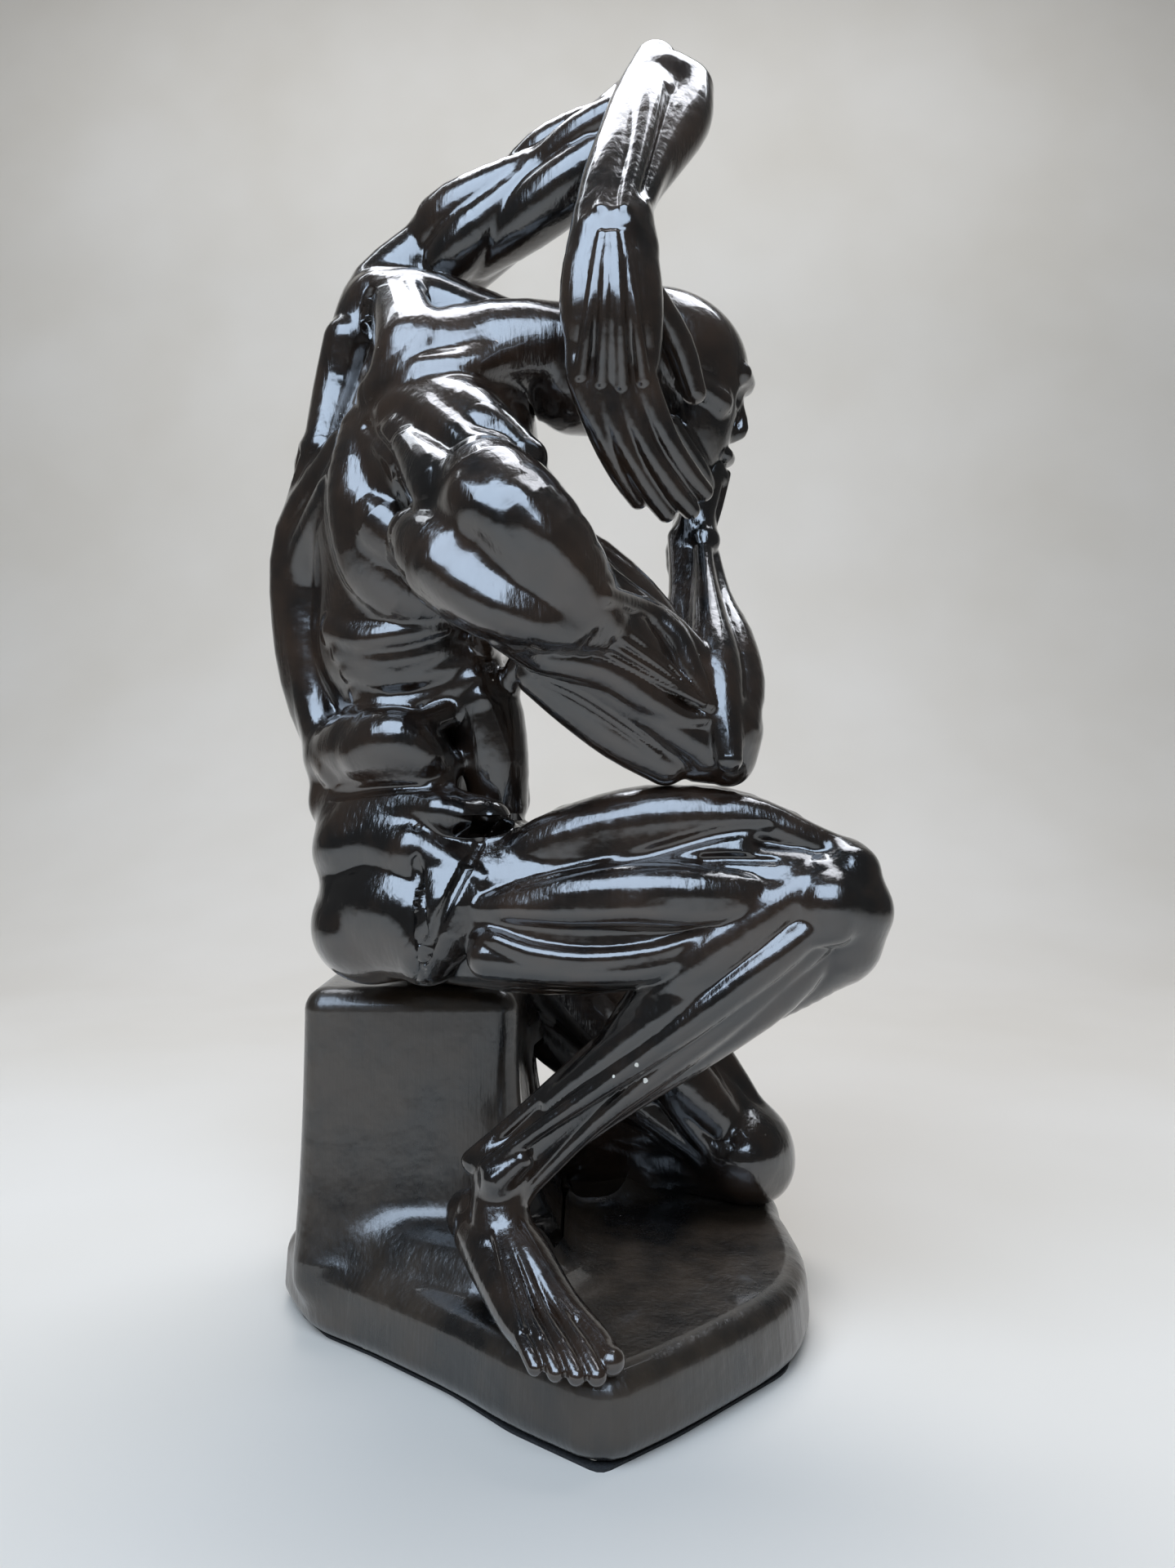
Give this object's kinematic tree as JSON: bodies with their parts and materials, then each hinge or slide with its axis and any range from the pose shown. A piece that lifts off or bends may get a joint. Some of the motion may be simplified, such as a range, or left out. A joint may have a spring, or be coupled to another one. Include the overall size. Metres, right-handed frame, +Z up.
{
  "type": "plaster ecorche figure",
  "caption": "Seated, twisted anatomical study figure in black-enamelled plaster on a faceted plinth with a seat block.",
  "frame": {"origin": "on the supporting surface, under the middle of the plinth", "axes": "+Z up; the knees point towards +X; the figure's right side and the plinth's front corner face -Y"},
  "size_m": [0.2282, 0.2276, 0.4891],
  "materials": {
    "black_enamel": "gloss black enamel brushed over cast plaster",
    "satin_enamel": "satin black enamel over cast plaster",
    "steel_rod": "plain drawn steel",
    "grey_felt": "thin pressed felt"
  },
  "bodies": {
    "root": {"base_casting": "satin_enamel", "body_casting": "black_enamel", "right_leg_casting": "black_enamel", "right_arm_casting": "black_enamel", "left_arm_casting": "black_enamel", "head_and_hands_casting": "black_enamel", "seat_rod": "steel_rod", "neck_rod": "steel_rod", "right_hip_rod": "steel_rod", "right_ankle_rod": "steel_rod", "left_thigh_rod": "steel_rod", "right_shoulder_rod": "steel_rod", "left_shoulder_rod": "steel_rod", "right_wrist_rod": "steel_rod", "left_wrist_rod": "steel_rod", "felt_base_sheet": "grey_felt"}
  },
  "joints": []
}
